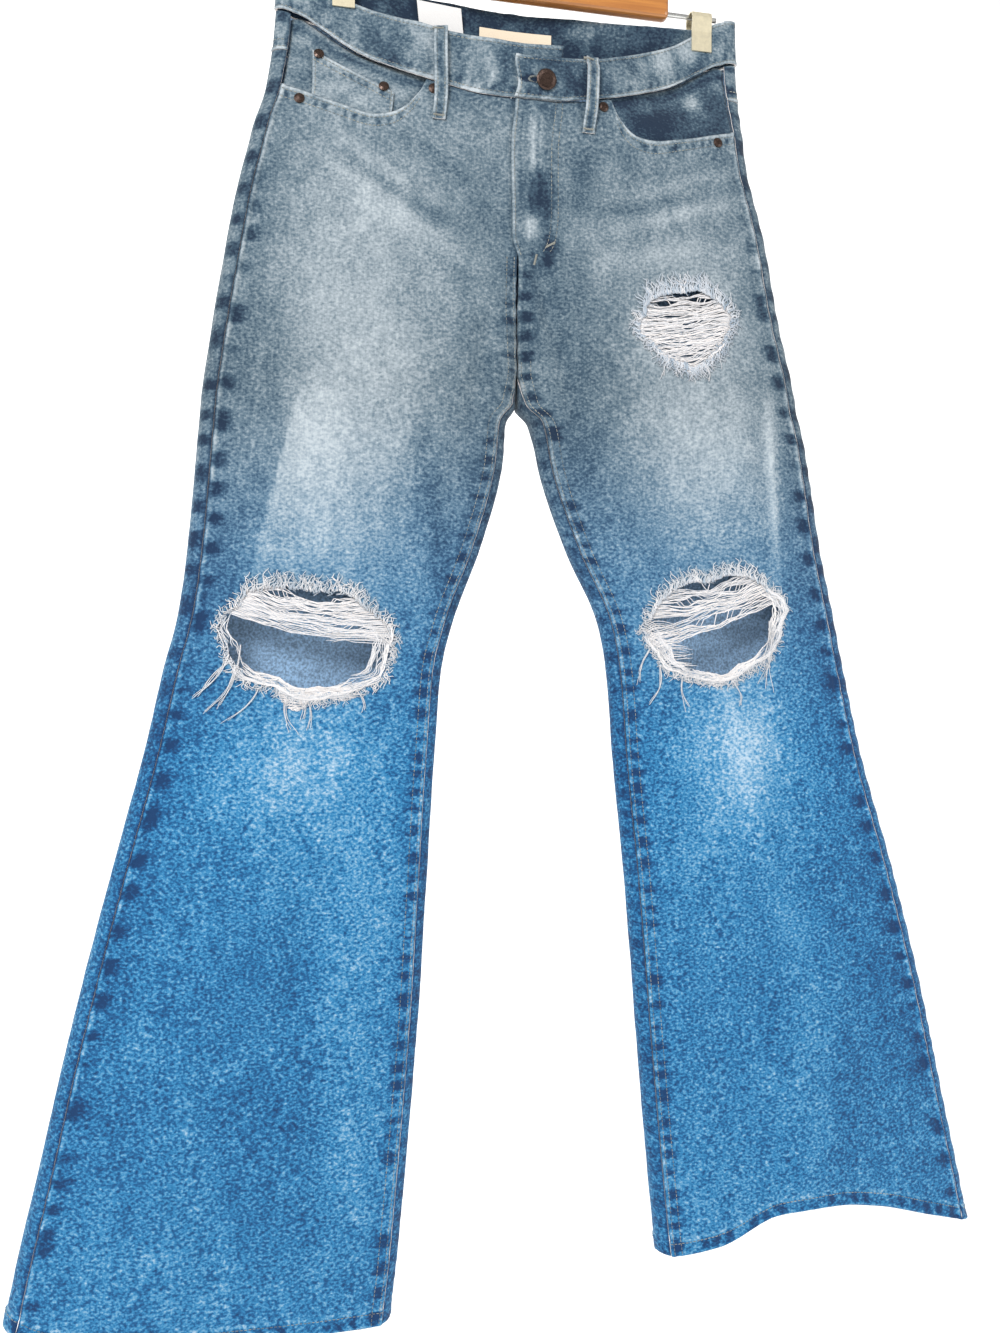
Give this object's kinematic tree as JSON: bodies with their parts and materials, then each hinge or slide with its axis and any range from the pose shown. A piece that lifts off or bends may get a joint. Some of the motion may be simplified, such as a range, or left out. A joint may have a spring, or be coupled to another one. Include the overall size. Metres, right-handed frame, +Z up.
{
  "type": "bootcut jeans on clip hanger",
  "caption": "Five-pocket bootcut jeans with torn knees and thigh, hung by the waistband from a wooden clip hanger with a wire hook.",
  "frame": {"origin": "inside top of the hook, where a rail carries it", "axes": "+Z up along the hook's shank; the front of the jeans faces -Y; +X is the viewer's right"},
  "size_m": [0.8336, 0.0564, 1.2043],
  "materials": {
    "denim_upper": "washed-out denim twill, pale and matt",
    "denim_lower": "faded blue denim twill, matt",
    "torn_thread": "loose undyed cotton weft threads",
    "rivet_dark": "dark antique brass, worn at the rims",
    "label_cloth": "bare cream woven tape",
    "label_white": "bare white woven tape",
    "wood_amber": "clear-varnished amber wood",
    "steel": "bright plated steel wire",
    "clip_metal": "pale gold plated sheet steel"
  },
  "bodies": {
    "root": {"yoke_left": "denim_upper", "yoke_right": "denim_upper", "facing_left": "denim_upper", "facing_right": "denim_upper", "coin_pocket": "denim_upper", "waistband": "denim_upper", "loop_front_left": "denim_upper", "loop_front_right": "denim_upper", "loop_side_left": "denim_upper", "loop_side_right": "denim_upper", "loop_back": "denim_upper", "front_left": "denim_lower", "front_right": "denim_lower", "back_left": "denim_lower", "back_right": "denim_lower", "back_pocket_left": "denim_lower", "back_pocket_right": "denim_lower", "threads_knee_left": "torn_thread", "threads_knee_right": "torn_thread", "threads_thigh_right": "torn_thread", "rivet_coin_outer": "rivet_dark", "rivet_coin_inner": "rivet_dark", "rivet_left_outer": "rivet_dark", "rivet_left_inner": "rivet_dark", "rivet_right_inner": "rivet_dark", "rivet_right_outer": "rivet_dark", "button": "rivet_dark", "size_label": "label_cloth", "care_label": "label_white", "hanger_bar": "wood_amber", "hanger_rod": "steel", "hanger_hook": "steel", "clip_left": "clip_metal", "clip_right": "clip_metal"}
  },
  "joints": []
}
